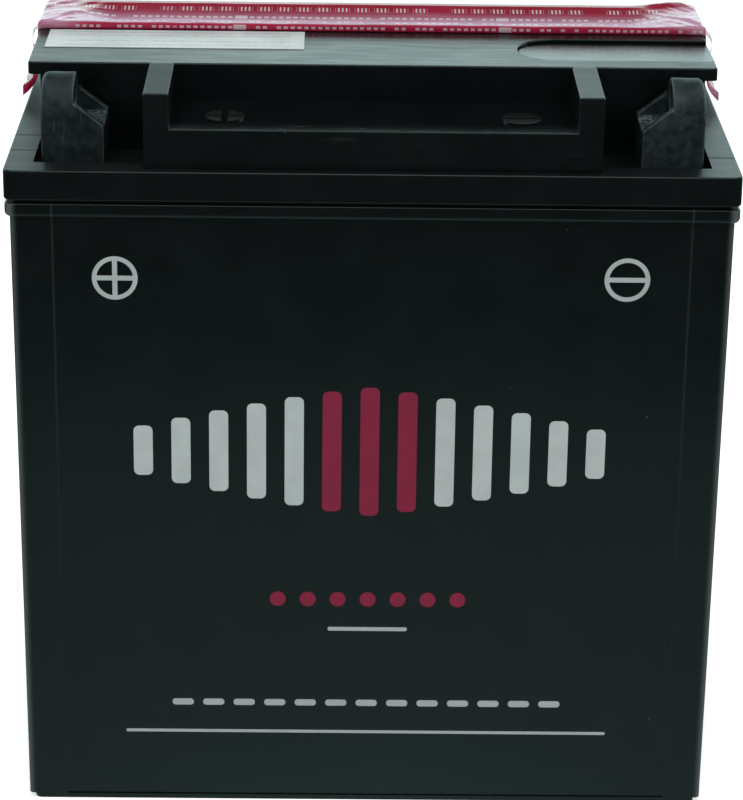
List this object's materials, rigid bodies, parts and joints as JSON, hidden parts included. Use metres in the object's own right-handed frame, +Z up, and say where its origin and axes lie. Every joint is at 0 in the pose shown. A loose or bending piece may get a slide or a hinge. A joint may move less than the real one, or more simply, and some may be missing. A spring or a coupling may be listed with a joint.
{
  "type": "motorcycle battery",
  "caption": "Upright black motorcycle battery, shipped dry: recessed cast-lead terminals, raised deck, vented cover plate, and a peel-off red film over its filler wells.",
  "frame": {"origin": "centre of the footprint, on the surface that the battery stands on", "axes": "+Z up, +X along the long side with the negative terminal at +X, -Y towards the front with the terminals"},
  "size_m": [0.15, 0.087, 0.161],
  "materials": {
    "case_plastic": "satin black moulded plastic",
    "cover_plastic": "satin black moulded plastic, lightly scuffed",
    "cast_lead": "dull grey cast lead, mottled",
    "film": "thin glossy crimson sealing film",
    "label_paper": "matt white paper label, blank",
    "rubber": "matt black rubber",
    "porous_disc": "sintered porous disc",
    "positive_paste": "dark brown lead dioxide paste on a lead grid",
    "negative_paste": "grey sponge lead on a lead grid",
    "glass_mat": "white absorbent glass mat"
  },
  "bodies": {
    "root": {"case": "case_plastic", "cover": "cover_plastic", "vent_cover_plate": "cover_plastic", "flame_arrestor": "porous_disc", "data_label": "label_paper", "terminal_positive": "cast_lead", "terminal_negative": "cast_lead", "positive_post": "cast_lead", "negative_post": "cast_lead", "positive_post_seal": "rubber", "negative_post_seal": "rubber", "intercell_welds": "cast_lead", "cell_1_positive_plates": "positive_paste", "cell_1_negative_plates": "negative_paste", "cell_1_separators": "glass_mat", "cell_1_positive_strap": "cast_lead", "cell_1_negative_strap": "cast_lead", "cell_2_positive_plates": "positive_paste", "cell_2_negative_plates": "negative_paste", "cell_2_separators": "glass_mat", "cell_2_positive_strap": "cast_lead", "cell_2_negative_strap": "cast_lead", "cell_3_positive_plates": "positive_paste", "cell_3_negative_plates": "negative_paste", "cell_3_separators": "glass_mat", "cell_3_positive_strap": "cast_lead", "cell_3_negative_strap": "cast_lead", "cell_4_positive_plates": "positive_paste", "cell_4_negative_plates": "negative_paste", "cell_4_separators": "glass_mat", "cell_4_positive_strap": "cast_lead", "cell_4_negative_strap": "cast_lead", "cell_5_positive_plates": "positive_paste", "cell_5_negative_plates": "negative_paste", "cell_5_separators": "glass_mat", "cell_5_positive_strap": "cast_lead", "cell_5_negative_strap": "cast_lead", "cell_6_positive_plates": "positive_paste", "cell_6_negative_plates": "negative_paste", "cell_6_separators": "glass_mat", "cell_6_positive_strap": "cast_lead", "cell_6_negative_strap": "cast_lead"},
    "film": {"sealing_film": "film"},
    "valve": {"relief_valve": "rubber"}
  },
  "joints": [
    {"name": "film_peel", "type": "slide", "parent": "root", "child": "film", "axis": [0, 0, 1], "range_m": [0, 0.04]},
    {"name": "valve_lift", "type": "slide", "parent": "root", "child": "valve", "axis": [0, 0, 1], "range_m": [0, 0.0008], "stiffness_N_per_m": 1200}
  ]
}
